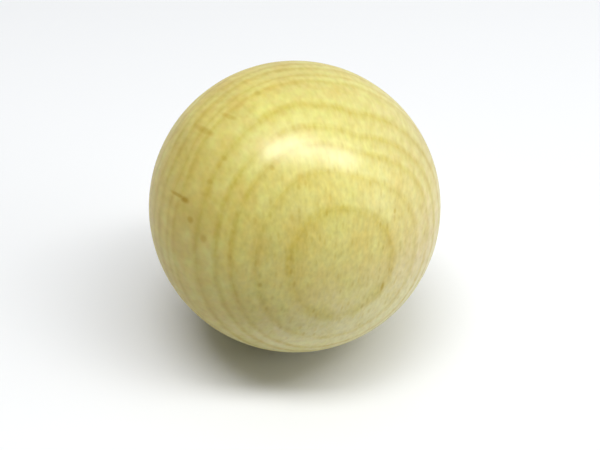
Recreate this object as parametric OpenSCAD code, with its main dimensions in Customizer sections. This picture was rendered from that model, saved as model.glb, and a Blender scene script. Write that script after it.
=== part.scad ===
// Turned wooden ball
//
// One solid piece of pale, close-grained hardwood, turned and sanded to a true
// sphere. It has no hole, flat or insert, so on a flat surface it touches at
// one point and is free to roll. The origin is the centre of the ball, +Z up.
// Lengths are in millimetres.

/* [Ball] */
// Diameter of the finished ball
ball_d = 40; // [10:1:120]

/* [Quality] */
// Fragments in a full circle of the preview
fragments = 128; // [32:16:256]

/* [Hidden] */

// The whole object: a sphere about the origin.
module ball() {
    color("khaki")
        sphere(d = ball_d, $fn = fragments);
}

ball();
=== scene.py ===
"""A turned wooden ball under clear lacquer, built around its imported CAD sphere.

Lengths are in metres in the frame of the CAD model: the origin is the centre
of the ball and +Z is up. The ball is cut from one block of pale hardwood, so
its grain is solid: growth rings, rays and fibres are worked out in the block,
in millimetres, and the surface shows whatever it cuts through.
"""

import math

import bmesh
import bpy
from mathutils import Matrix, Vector, noise

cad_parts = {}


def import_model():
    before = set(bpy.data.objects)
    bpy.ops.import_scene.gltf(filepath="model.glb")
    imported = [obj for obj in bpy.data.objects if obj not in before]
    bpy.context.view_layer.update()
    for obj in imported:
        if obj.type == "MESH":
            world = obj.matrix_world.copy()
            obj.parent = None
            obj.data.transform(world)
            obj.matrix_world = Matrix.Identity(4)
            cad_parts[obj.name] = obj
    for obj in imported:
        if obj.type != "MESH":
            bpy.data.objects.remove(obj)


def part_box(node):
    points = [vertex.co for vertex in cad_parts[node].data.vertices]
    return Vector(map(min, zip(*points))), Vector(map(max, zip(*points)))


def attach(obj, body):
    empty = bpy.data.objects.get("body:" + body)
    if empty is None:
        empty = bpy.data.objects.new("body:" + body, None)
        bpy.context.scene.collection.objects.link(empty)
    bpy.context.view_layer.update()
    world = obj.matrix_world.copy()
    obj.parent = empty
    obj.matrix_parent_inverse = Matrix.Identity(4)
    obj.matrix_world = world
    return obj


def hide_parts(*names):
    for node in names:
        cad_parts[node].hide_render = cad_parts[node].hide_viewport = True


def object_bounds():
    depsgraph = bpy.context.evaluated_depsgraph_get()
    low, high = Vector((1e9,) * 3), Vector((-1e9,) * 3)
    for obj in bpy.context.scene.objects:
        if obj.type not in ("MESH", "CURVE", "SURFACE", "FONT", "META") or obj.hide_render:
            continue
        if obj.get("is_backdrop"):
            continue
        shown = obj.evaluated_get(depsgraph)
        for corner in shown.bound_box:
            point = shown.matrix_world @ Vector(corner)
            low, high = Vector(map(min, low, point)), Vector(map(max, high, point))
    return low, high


MM = 0.001

# Camera, as seen from the middle of the ball.
CAMERA_ELEVATION = math.radians(36)
CAMERA_DISTANCE = 115.9 * MM
CAMERA_LENS = 50.0
AIM_RIGHT = 0.7 * MM
AIM_BELOW = 2.5 * MM

# Mesh of the ball: squares along each edge of the cube it is blown up from, the margin
# round a side of the cube in the map, and the mean depth of the waves left by sanding.
FACE_CUTS = 120
ISLAND_MARGIN = 0.006
SANDING_DEPTH = 0.016 * MM

# The block of wood, in millimetres. It grew outwards from a pith in front of the ball, so
# the face towards the camera shows the rings as a target.
PITH_SIDE = Vector((0.301, -0.920, 0.251))
FIBRE_LEAN = Vector((0.108, 0.294, 0.950))
PITH_DISTANCE = 70.2

# Growth rings: depth below the point of the ball nearest the pith, width of the dark
# line that ends the ring, and how dark it is.
RINGS = (
    (1.60, 0.34, 1.05),
    (3.95, 0.36, 0.75),
    (6.25, 0.42, 1.00),
    (8.05, 0.50, 1.00),
    (10.8, 0.55, 1.00),
    (14.9, 0.55, 0.65),
    (16.4, 0.45, 0.45),
    (18.65, 0.75, 0.70),
    (20.7, 0.55, 0.50),
    (23.4, 0.50, 0.65),
    (25.4, 0.40, 0.55),
    (28.6, 0.50, 0.90),
    (30.9, 0.45, 0.70),
    (33.2, 0.50, 0.80),
    (36.0, 0.50, 0.90),
    (38.3, 0.40, 0.70),
)
# Depth of the block that they fill, which is the whole ball.
BLOCK_DEPTH = 40.0
# How far a line fades out before and after the end of its ring, in line widths, and the
# largest share of the ring before it and after it that it may take up.
LINE_FADE = (1.8, 1.3)
LINE_SHARE = (0.6, 0.4)

# Patches of the block, which run right through the ball towards the pith. A row has the
# middle and the reach, both across and along the fibres, and then how much changes.

# Hollows in the growth layers, and swellings where the depth is negative: how deep. The
# first is broad, and the next two are a crease in it and a swelling by it.
HOLLOWS = (
    ((2.7, 16.4), (7.0, 9.2), 1.96),
    ((1.9, 14.8), (1.4, 4.0), 0.35),
    ((3.5, 19.2), (4.0, 1.6), -0.75),
    ((12.0, 8.5), (3.0, 3.0), -0.30),
    ((-17.2, 7.0), (2.2, 3.5), 0.55),
)
# Stretches of the ring lines: how much darker.
LINE_CHANGES = (
    ((-16.3, 0.0), (1.5, 5.0), -0.30),
    ((-10.0, -9.0), (2.5, 3.0), 0.20),
    ((-9.4, 3.5), (2.0, 5.0), -0.65),
    ((-8.8, 10.6), (3.5, 3.0), -0.30),
    ((-6.6, 1.0), (1.4, 3.5), 0.35),
    ((-5.8, 3.3), (1.4, 1.4), -0.40),
    ((0.5, -7.0), (3.5, 1.5), -0.25),
    ((1.0, -12.0), (5.0, 2.0), 0.30),
    ((1.0, 13.5), (3.0, 1.5), -0.35),
    ((2.0, 9.8), (4.0, 1.2), 0.35),
    ((6.4, -1.5), (1.2, 3.0), 0.25),
    ((11.5, 2.5), (2.8, 4.5), -0.65),
)
# Other tones of the wood: how much lighter, how much tanner and how much redder. The lighter and
# darker patches are partly the wood's own tone and partly painted light and shade that evens out
# the shading, such as lighter patches low on the ball and on its left and a darker one in the
# middle of its face.
TONES_AND_PAINTED_LIGHT = (
    ((-19.0, 0.0), (1.5, 3.0), 0.06, 0.0, 0.0),
    ((-18.0, -4.5), (3.5, 3.0), 0.08, -0.25, 0.0),
    ((-17.4, -1.8), (1.1, 1.2), -0.07, 0.40, 0.02),
    ((-16.6, 10.3), (2.0, 2.0), -0.07, 0.0, 0.0),
    ((-16.5, 3.0), (2.0, 2.5), -0.05, 0.15, 0.0),
    ((-15.5, -9.0), (4.0, 4.0), 0.06, 0.0, 0.0),
    ((-12.7, -0.5), (1.3, 3.8), 0.05, 0.0, -0.03),
    ((-12.0, 13.8), (1.5, 1.5), 0.0, -0.20, -0.02),
    ((-11.5, 12.0), (4.5, 3.5), 0.05, -0.20, 0.0),
    ((-11.2, 15.8), (2.0, 2.2), -0.06, 0.35, 0.03),
    ((-9.0, 1.5), (3.0, 2.2), -0.05, 0.0, 0.0),
    ((-9.0, 15.5), (1.8, 1.5), 0.05, 0.0, -0.05),
    ((-6.2, 6.0), (1.8, 1.8), -0.05, 0.0, 0.03),
    ((-4.5, 18.9), (4.0, 1.3), -0.06, 0.0, 0.03),
    ((-3.0, 0.0), (8.0, 5.5), -0.08, 0.0, 0.0),
    ((0.0, -13.5), (9.0, 3.5), 0.13, 0.0, 0.0),
    ((0.0, -6.0), (3.5, 1.8), 0.06, 0.0, 0.0),
    ((1.8, 9.3), (4.0, 1.6), 0.05, 0.0, -0.03),
    ((5.0, 1.0), (4.5, 5.5), 0.0, 0.45, 0.0),
    ((6.8, -8.0), (4.0, 4.0), 0.06, 0.0, 0.0),
    ((7.4, 16.4), (4.5, 2.5), 0.04, -0.20, 0.0),
    ((11.5, 0.0), (5.0, 5.0), 0.0, 0.0, 0.06),
)

# Rays: their spacing round the pith, along the fibres and out from the pith, and half
# their size the same three ways.
RAY_SPACING = (0.95, 1.5, 4.0)
RAY_SIZE = (0.22, 0.44, 1.6)
# Flecks that stand out: their place in the block, half their size the same three ways,
# and how dark they are. The first two are a crack and its dark end, the next two are
# fine streaks, and the rest are dots and one short dash.
FLECKS = (
    ((-19.6, 4.35, 65.2), (0.8, 0.26, 2.0), 1.0),
    ((-19.4, 4.20, 63.7), (0.8, 0.40, 0.9), 1.3),
    ((-15.9, 12.1, 66.1), (0.7, 0.42, 2.8), 0.7),
    ((-13.4, 14.2, 64.3), (0.7, 0.28, 2.2), 0.6),
    ((-19.3, 2.2, 62.1), (0.7, 0.50, 0.60), 1.0),
    ((-18.5, 0.5, 59.8), (0.6, 0.55, 0.60), 0.7),
    ((7.8, -3.7, 51.6), (0.36, 0.85, 0.8), 1.2),
    ((-12.4, -3.6, 53.8), (0.35, 0.35, 0.7), 0.7),
    ((-10.9, 10.2, 56.0), (0.35, 0.35, 0.7), 0.8),
    ((-15.6, 10.1, 60.8), (0.4, 0.35, 0.6), 0.6),
    ((-17.4, 7.2, 61.0), (0.4, 0.38, 0.6), 0.6),
    ((-9.4, 17.0, 64.7), (0.5, 0.35, 0.7), 0.5),
    ((8.4, 5.9, 52.5), (0.3, 0.35, 0.8), 0.8),
    ((-7.8, 8.6, 53.4), (0.3, 0.35, 0.8), 0.45),
)
# Darkness of a fleck of 1, where the darkest ray is 1.
FLECK_STRENGTH = 1.4

# Colours of the bare wood, and the stains that are multiplied onto it.
EARLY_WOOD = (0.778, 0.735, 0.235, 1)
PALE_WOOD = (0.785, 0.685, 0.315, 1)
TAN_WOOD = (0.760, 0.620, 0.155, 1)
# Cream wood also carries painted sheen: a whitish reflection low down on the right side.
CREAM_WOOD_AND_SHEEN = (0.855, 0.805, 0.440, 1)
LATE_STAIN = (0.945, 0.925, 0.800, 1)
CLOUD_STAIN = (0.700, 0.585, 0.060, 1)
LINE_STAIN = (0.735, 0.620, 0.040, 1)
RAY_STAIN = (0.680, 0.530, 0.000, 1)

# The floor: half its width, its colour as it is seen, its colour in the light that it
# throws back, and where it starts and ends fading into the room.
FLOOR_REACH = 3.0
FLOOR_SEEN = (0.915, 0.930, 0.945, 1)
FLOOR_BOUNCE = (0.60, 0.60, 0.60, 1)
FADE_START = 0.25
FADE_END = 1.0

# Soft boxes in a row overhead: name, place to the right and back, width and length, all
# as shares of the height that they hang at, and radiance.
LAMP_HEIGHT = 700 * MM
LAMPS = (
    ("softbox_left", -0.13, -0.17, 0.56, 0.25, 11.9),
    ("softbox_between", 0.28, -0.20, 0.28, 0.20, 9.6),
    ("softbox_right", 0.71, -0.22, 0.58, 0.26, 10.4),
)
# Direction of the window on the right.
WINDOW = (0.88, -0.22, 0.42)


class Graph:
    """Adds nodes to one tree. A number, a colour or another node's output can feed an input."""

    def __init__(self, tree):
        self.tree = tree

    def add(self, kind, inputs=(), **settings):
        node = self.tree.nodes.new(kind)
        for name, value in settings.items():
            setattr(node, name, value)
        for name, value in dict(inputs).items():
            self.feed(node.inputs[name], value)
        return node

    def feed(self, socket, value):
        if isinstance(value, bpy.types.NodeSocket):
            self.tree.links.new(value, socket)
        else:
            socket.default_value = value

    def math(self, operation, *values):
        return self.add("ShaderNodeMath", enumerate(values), operation=operation).outputs[0]

    def vector(self, operation, *values):
        node = self.add("ShaderNodeVectorMath", enumerate(values), operation=operation)
        one_number = operation in ("DOT_PRODUCT", "LENGTH")
        return node.outputs["Value" if one_number else "Vector"]

    def join(self, x, y, z):
        return self.add("ShaderNodeCombineXYZ", {"X": x, "Y": y, "Z": z}).outputs[0]

    def split(self, vector):
        return self.add("ShaderNodeSeparateXYZ", {"Vector": vector}).outputs

    def total(self, first, *rest):
        for value in rest:
            first = self.math("ADD", first, value)
        return first

    def product(self, first, *rest):
        for value in rest:
            first = self.math("MULTIPLY", first, value)
        return first

    def step(self, value, start, end, low=0.0, high=1.0):
        """Smooth change from low to high as value goes from start to end."""
        node = self.add(
            "ShaderNodeMapRange",
            {"Value": value, "From Min": start, "From Max": end, "To Min": low, "To Max": high},
            interpolation_type="SMOOTHSTEP",
        )
        return node.outputs["Result"]

    def noise(self, place, scale, detail):
        """Noise from about -1 to 1."""
        node = self.add(
            "ShaderNodeTexNoise",
            {"Vector": place, "Scale": scale, "Detail": detail, "Roughness": 0.5},
        )
        return self.math("MULTIPLY_ADD", node.outputs["Fac"], 2.0, -1.0)

    def patch(self, x, y, middle, reach):
        """1 at the middle of a round patch, and falling off smoothly with the reach both ways."""
        off_x = self.product(self.math("SUBTRACT", x, middle[0]), 1 / reach[0])
        off_y = self.product(self.math("SUBTRACT", y, middle[1]), 1 / reach[1])
        square = self.total(self.product(off_x, off_x), self.product(off_y, off_y))
        return self.math("EXPONENT", self.product(square, -1.0))

    def blend(self, amount, a, b, how="MIX"):
        """Colour a with an amount of colour b. Sockets 6, 7 and 2 are the ones for colours."""
        node = self.add("ShaderNodeMix", data_type="RGBA", blend_type=how)
        self.feed(node.inputs["Factor"], amount)
        self.feed(node.inputs[6], a)
        self.feed(node.inputs[7], b)
        return node.outputs[2]


class Block:
    """Where a point lies in the block of wood, in millimetres."""

    def __init__(self, g):
        self.g = g
        towards = PITH_SIDE.normalized()
        along = (FIBRE_LEAN - FIBRE_LEAN.dot(towards) * towards).normalized()
        across = along.cross(towards)
        place = g.add("ShaderNodeTexCoord").outputs["Object"]
        place = g.vector("MULTIPLY", place, (1 / MM, 1 / MM, 1 / MM))
        self.towards = g.vector("DOT_PRODUCT", place, tuple(towards))
        self.across = g.vector("DOT_PRODUCT", place, tuple(across))
        self.along = g.vector("DOT_PRODUCT", place, tuple(along))

        # Cylinder coordinates about the pith.
        to_pith = g.math("SUBTRACT", PITH_DISTANCE, self.towards)
        square = g.total(g.product(to_pith, to_pith), g.product(self.across, self.across))
        self.radius = g.math("SQRT", square)
        self.arc = g.product(g.math("ARCTAN2", self.across, to_pith), PITH_DISTANCE)
        self.place = g.join(self.arc, self.along, self.radius)

    def noise(self, along, outwards, scale, detail):
        """Noise that a factor below 1 draws out along the fibres or outwards from the pith."""
        place = self.g.vector("MULTIPLY", self.place, (1.0, along, outwards))
        return self.g.noise(place, scale, detail)

    def patched(self, rows, *values):
        """The values, each with its own change from every patch in the rows."""
        values = list(values)
        for middle, reach, *changes in rows:
            patch = self.g.patch(self.across, self.along, middle, reach)
            for index, change in enumerate(changes):
                if change:
                    change = self.g.product(patch, change)
                    values[index] = self.g.total(values[index], change)
        return values


def make_camera():
    camera = bpy.data.objects.new("camera", bpy.data.cameras.new("camera"))
    bpy.context.scene.collection.objects.link(camera)
    camera.data.lens = CAMERA_LENS
    camera.data.clip_start = 1 * MM
    back = Vector((0, -math.cos(CAMERA_ELEVATION), math.sin(CAMERA_ELEVATION)))
    right = Vector((1, 0, 0))
    up = back.cross(right)
    aim = AIM_RIGHT * right - AIM_BELOW * up
    camera.location = back * CAMERA_DISTANCE
    camera.rotation_euler = (camera.location - aim).to_track_quat("Z", "Y").to_euler()
    bpy.context.scene.camera = camera


def ball_mesh(radius):
    """A sphere as a cube blown up into a ball, with the faint waves that hand sanding leaves."""
    shape = bmesh.new()
    bmesh.ops.create_cube(shape, size=2)
    bmesh.ops.subdivide_edges(
        shape, edges=shape.edges[:], cuts=FACE_CUTS - 1, use_grid_fill=True
    )
    lay_out(shape)
    for vertex in shape.verts:
        # The tangent makes the squares more even in size.
        bulged = Vector(math.tan(c * math.pi / 4) for c in vertex.co)
        outwards = bulged.normalized()
        vertex.co = outwards * (radius - sanding(outwards))
    for face in shape.faces:
        face.smooth = True
    mesh = bpy.data.meshes.new("wooden_ball")
    shape.to_mesh(mesh)
    shape.free()
    return mesh


def lay_out(shape):
    """Lays each side of the cube in its own cell of a map three cells wide and two high."""
    layer = shape.loops.layers.uv.new("OFBake")
    for face in shape.faces:
        centre = face.calc_center_median()
        axis = max(range(3), key=lambda i: abs(centre[i]))
        across, up = [i for i in range(3) if i != axis]
        row = 0 if centre[axis] > 0 else 1
        for loop in face.loops:
            u = (loop.vert.co[across] + 1) / 2
            v = (loop.vert.co[up] + 1) / 2
            u = ISLAND_MARGIN + u * (1 - 2 * ISLAND_MARGIN)
            v = ISLAND_MARGIN + v * (1 - 2 * ISLAND_MARGIN)
            loop[layer].uv = ((axis + u) / 3, (row + v) / 2)


def sanding(outwards):
    """How far the surface lies below the true sphere in this direction."""
    broad = noise.noise(outwards * 3.1)
    fine = noise.noise(outwards * 7.3 + Vector((5, 2, 8)))
    return SANDING_DEPTH * (1 + 0.6 * broad + 0.4 * fine)


def ring_depth(g, block, ball_radius):
    """Depth in the growth layers, bent by the hollows and by uneven growth."""
    depth = g.math("SUBTRACT", block.radius, PITH_DISTANCE - ball_radius / MM)
    straight = g.join(block.across, block.along, block.towards)
    return g.total(
        block.patched(HOLLOWS, depth)[0],
        g.product(g.noise(straight, scale=0.09, detail=1.0), 0.10),
        g.product(block.noise(along=0.35, outwards=1.0, scale=0.5, detail=1.0), 0.10),
        g.product(block.noise(along=0.35, outwards=1.0, scale=2.0, detail=1.0), 0.04),
    )


def ring_ramp(g, depth):
    """Rings passed at this depth; reach of the line before and after a ring's end; its darkness."""
    ramp = g.add("ShaderNodeValToRGB", {"Fac": g.product(depth, 1 / BLOCK_DEPTH)})
    # The ends of the block have no line, so their darkness is 0.
    stops = [(0.0, 0.4, 0.0), *RINGS, (BLOCK_DEPTH, 0.4, 0.0)]
    last = len(stops) - 1
    while len(ramp.color_ramp.elements) < len(stops):
        ramp.color_ramp.elements.new(0.5)
    for index, (at, width, dark) in enumerate(stops):
        before = at - stops[max(index - 1, 0)][0] or 1.0
        after = stops[min(index + 1, last)][0] - at or 1.0
        element = ramp.color_ramp.elements[index]
        element.position = at / BLOCK_DEPTH
        element.color = (
            index / last,
            min(LINE_FADE[0] * width / before, LINE_SHARE[0]),
            min(LINE_FADE[1] * width / after, LINE_SHARE[1]),
            dark,
        )
    split = g.add("ShaderNodeSeparateColor", {"Color": ramp.outputs["Color"]})
    passed = g.product(split.outputs["Red"], last)
    return passed, split.outputs["Green"], split.outputs["Blue"], ramp.outputs["Alpha"]


def ring_layers(g, block, depth):
    """The latewood towards the end of each ring, and the soft beaded line that closes it."""
    passed, reach_before, reach_after, dark = ring_ramp(g, depth)
    through = g.math("FRACT", passed)
    left_over = g.math("SUBTRACT", 1.0, through)
    latewood = g.product(g.step(through, 0.15, 0.95), g.step(through, 1.0, 0.97))

    before = g.step(left_over, reach_before, 0.0)
    after = g.step(through, reach_after, 0.0)
    beads = block.noise(along=0.75, outwards=0.4, scale=1.5, detail=1.0)
    fading = block.noise(along=1.0, outwards=2.0, scale=0.22, detail=1.0)
    line = g.product(
        g.math("MAXIMUM", before, after),
        dark,
        g.step(beads, -0.45, 0.5, 0.70, 1.25),
        g.step(fading, -0.5, 0.5, 0.70, 1.25),
        block.patched(LINE_CHANGES, 1.0)[0],
    )
    return latewood, line


def rays_and_flecks(g, block, line):
    """Rays, as thin upright blades that are darkest by the ring lines, and the flecks."""
    cells = g.vector("DIVIDE", block.place, RAY_SPACING)
    voronoi = g.add(
        "ShaderNodeTexVoronoi", {"Vector": cells, "Scale": 1.0, "Randomness": 1.0}
    )
    off = g.vector("SUBTRACT", cells, voronoi.outputs["Position"])
    off = g.vector("MULTIPLY", off, [gap / half for gap, half in zip(RAY_SPACING, RAY_SIZE)])
    pick = g.add("ShaderNodeSeparateColor", {"Color": voronoi.outputs["Color"]})
    rays = g.product(
        g.step(g.vector("LENGTH", off), 1.5, 0.2),
        g.step(pick.outputs["Red"], 0.0, 1.0, 0.10, 1.0),
        g.total(0.7, g.product(line, 0.3)),
        g.step(block.radius, 52.0, 60.0, 1.0, 0.3),
    )
    for middle, half_size, dark in FLECKS:
        off = g.vector("DIVIDE", g.vector("SUBTRACT", block.place, middle), half_size)
        fleck = g.product(g.step(g.vector("LENGTH", off), 1.3, 0.3), dark * FLECK_STRENGTH)
        rays = g.math("MAXIMUM", rays, fleck)
    return rays


def wood_colour(g, block, latewood, line, rays, fibres):
    across, along, radius = block.across, block.along, block.radius

    # Cloudy changes of tone, from coarse to fine.
    clouds = block.noise(along=0.7, outwards=1.0, scale=0.38, detail=2.0)
    blush = block.noise(along=0.8, outwards=1.0, scale=0.9, detail=1.5)
    mottle = block.noise(along=0.75, outwards=0.5, scale=1.1, detail=1.5)
    dapple = block.noise(along=0.85, outwards=0.45, scale=1.6, detail=1.0)

    # The wood is tanner on one side and further from the pith, and changes in patches, whose
    # lightness is partly painted light and shade.
    lean = g.total(g.product(across, 0.025), g.product(along, 0.012))
    outer = g.product(g.step(radius, 59.0, 68.0), 0.25)
    shade, tanner, redder = block.patched(
        TONES_AND_PAINTED_LIGHT,
        g.total(1.0, g.product(dapple, g.step(radius, 51.0, 60.0, 0.15, 0.09))),
        g.math("SUBTRACT", g.total(outer, clouds), lean),
        g.product(blush, g.step(radius, 51.0, 58.0, 0.02, 0.08)),
    )

    # It is paler on the other side, and creamy low down there. The cream is partly the wood's own
    # tone and partly painted sheen, a whitish reflection on that side and low down.
    paler = g.total(g.product(across, 0.025), g.product(clouds, 0.2))
    creamier_and_sheen = g.total(
        g.product(across, 0.035), g.product(along, -0.05), g.product(clouds, 0.3)
    )
    pale = g.step(paler, -0.2, 0.6)
    colour = g.blend(pale, EARLY_WOOD, PALE_WOOD)
    colour = g.blend(g.step(tanner, -0.45, 0.90), colour, TAN_WOOD)
    colour = g.blend(g.step(creamier_and_sheen, -0.05, 0.75), colour, CREAM_WOOD_AND_SHEEN)

    # The latewood, the clouds, the ring lines and the rays are darker. The lines are
    # fainter in pale wood and low down.
    cloudy = g.total(0.10, g.product(mottle, 0.34), g.product(fibres, 0.04))
    line = g.product(
        line, g.step(pale, 0.0, 1.0, 0.43, 0.39), g.step(along, -9.0, 7.0, 0.92, 1.0)
    )
    colour = g.blend(g.product(latewood, 0.6), colour, LATE_STAIN, how="MULTIPLY")
    colour = g.blend(cloudy, colour, CLOUD_STAIN, how="MULTIPLY")
    colour = g.blend(line, colour, LINE_STAIN, how="MULTIPLY")
    colour = g.blend(g.product(rays, 0.46), colour, RAY_STAIN, how="MULTIPLY")

    # Painted shade: the wood is darker towards the top and upper right of the ball, to tone down
    # the light there. Redder wood has less green in it.
    painted_top_shade = g.step(g.total(along, g.product(across, 0.5)), 12.5, 20.0, 1.0, 0.89)
    shade = g.product(shade, painted_top_shade)
    green = g.product(shade, g.math("SUBTRACT", 1.0, redder))
    return g.vector("MULTIPLY", colour, g.join(shade, green, shade))


def wood_material(ball_radius):
    material = bpy.data.materials.new("lacquered_wood")
    material.use_nodes = True
    material.node_tree.nodes.clear()
    g = Graph(material.node_tree)
    block = Block(g)
    latewood, line = ring_layers(g, block, ring_depth(g, block, ball_radius))
    rays = rays_and_flecks(g, block, line)
    fibres = block.noise(along=0.2, outwards=0.6, scale=3.2, detail=1.6)

    height = g.total(g.product(fibres, 0.4), g.product(rays, -0.6), g.product(line, 0.3))
    bump = g.add(
        "ShaderNodeBump", {"Height": height, "Strength": 0.25, "Distance": 0.02 * MM}
    )
    shader = g.add(
        "ShaderNodeBsdfPrincipled",
        {
            "Base Color": wood_colour(g, block, latewood, line, rays, fibres),
            "Roughness": g.total(0.42, g.product(fibres, 0.04), g.product(rays, 0.05)),
            "Specular IOR Level": 0.05,
            "Coat Weight": 0.33,
            "Coat Roughness": 0.27,
            "Coat IOR": 2.20,
            "Normal": bump.outputs[0],
        },
    )
    g.add("ShaderNodeOutputMaterial", {"Surface": shader.outputs[0]})
    return material


def background_ray(g):
    """1 for a ray that sees the background: direct, mirrored or through glass."""
    path = g.add("ShaderNodeLightPath").outputs
    seen = g.math("MAXIMUM", path["Is Camera Ray"], path["Is Glossy Ray"])
    return g.math("MAXIMUM", seen, path["Is Transmission Ray"])


def room_level(g, x):
    """How bright the room looks in a direction that goes this far to the right."""
    return g.step(x, -0.8, 0.9, 0.65, 0.95)


def floor_material():
    """A plain pale floor, which fades into the room far off."""
    material = bpy.data.materials.new("white_floor")
    material.use_nodes = True
    material.node_tree.nodes.clear()
    g = Graph(material.node_tree)
    seen = background_ray(g)
    near = g.add(
        "ShaderNodeBsdfPrincipled",
        {
            "Base Color": g.blend(seen, FLOOR_BOUNCE, FLOOR_SEEN),
            "Roughness": 0.9,
            "Specular IOR Level": 0.0,
        },
    )
    place = g.add("ShaderNodeTexCoord").outputs["Object"]
    distance = g.vector("LENGTH", g.vector("MULTIPLY", place, (1.0, 1.0, 0.0)))
    level = room_level(g, g.split(g.vector("NORMALIZE", place))["X"])
    room = g.add("ShaderNodeEmission", {"Color": g.join(level, level, level)})
    far_off = g.product(seen, g.step(distance, FADE_START, FADE_END))
    mix = g.add("ShaderNodeMixShader", {"Fac": far_off, 1: near.outputs[0], 2: room.outputs[0]})
    g.add("ShaderNodeOutputMaterial", {"Surface": mix.outputs[0]})
    return material


def make_floor(low):
    sides = ((-1, -1), (1, -1), (1, 1), (-1, 1))
    corners = [(x * FLOOR_REACH, y * FLOOR_REACH, low) for x, y in sides]
    mesh = bpy.data.meshes.new("floor")
    mesh.from_pydata(corners, [], [(0, 1, 2, 3)])
    mesh.materials.append(floor_material())
    floor = bpy.data.objects.new("floor", mesh)
    bpy.context.scene.collection.objects.link(floor)
    floor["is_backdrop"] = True


def hang_lamps():
    for name, x, y, width, length, radiance in LAMPS:
        data = bpy.data.lights.new(name, "AREA")
        data.shape = "RECTANGLE"
        data.size = width * LAMP_HEIGHT
        data.size_y = length * LAMP_HEIGHT
        data.energy = radiance * math.pi * data.size * data.size_y
        lamp = bpy.data.objects.new(name, data)
        lamp.location = (x * LAMP_HEIGHT, y * LAMP_HEIGHT, LAMP_HEIGHT)
        bpy.context.scene.collection.objects.link(lamp)


def make_room():
    """A pale room that gives light from its right side, a window there and the ceiling behind."""
    world = bpy.data.worlds.new("studio")
    bpy.context.scene.world = world
    world.use_nodes = True
    g = Graph(world.node_tree)
    direction = g.add("ShaderNodeTexCoord").outputs["Generated"]
    x, y, z = g.split(direction)
    right_side = g.product(g.step(x, 0.45, 0.95), g.step(z, 0.75, 0.25), 0.6)
    window = g.product(g.step(g.vector("DOT_PRODUCT", direction, WINDOW), 0.88, 1.0), 1.6)
    ceiling = g.product(
        g.step(z, 0.45, 0.80), g.step(y, -0.15, 0.15), g.step(x, -0.6, 0.6, 0.9, 0.5)
    )
    lit = g.total(right_side, window, ceiling)
    level = g.math("MAXIMUM", lit, g.product(background_ray(g), room_level(g, x)))
    background = world.node_tree.nodes["Background"]
    g.feed(background.inputs["Color"], g.join(level, level, level))
    background.inputs["Strength"].default_value = 1.0


def main():
    make_camera()
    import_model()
    cad_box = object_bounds()
    low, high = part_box("ball")
    radius = (high[2] - low[2]) / 2

    ball = bpy.data.objects.new("wooden_ball", ball_mesh(radius))
    bpy.context.scene.collection.objects.link(ball)
    ball.data.materials.append(wood_material(radius))
    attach(ball, "root")
    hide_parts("ball")

    make_floor(low[2])
    hang_lamps()
    make_room()
    bpy.context.scene.view_settings.view_transform = "Standard"

    boxes = {"cad": cad_box, "visual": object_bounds()}
    boxes = {name: [list(corner) for corner in box] for name, box in boxes.items()}


main()
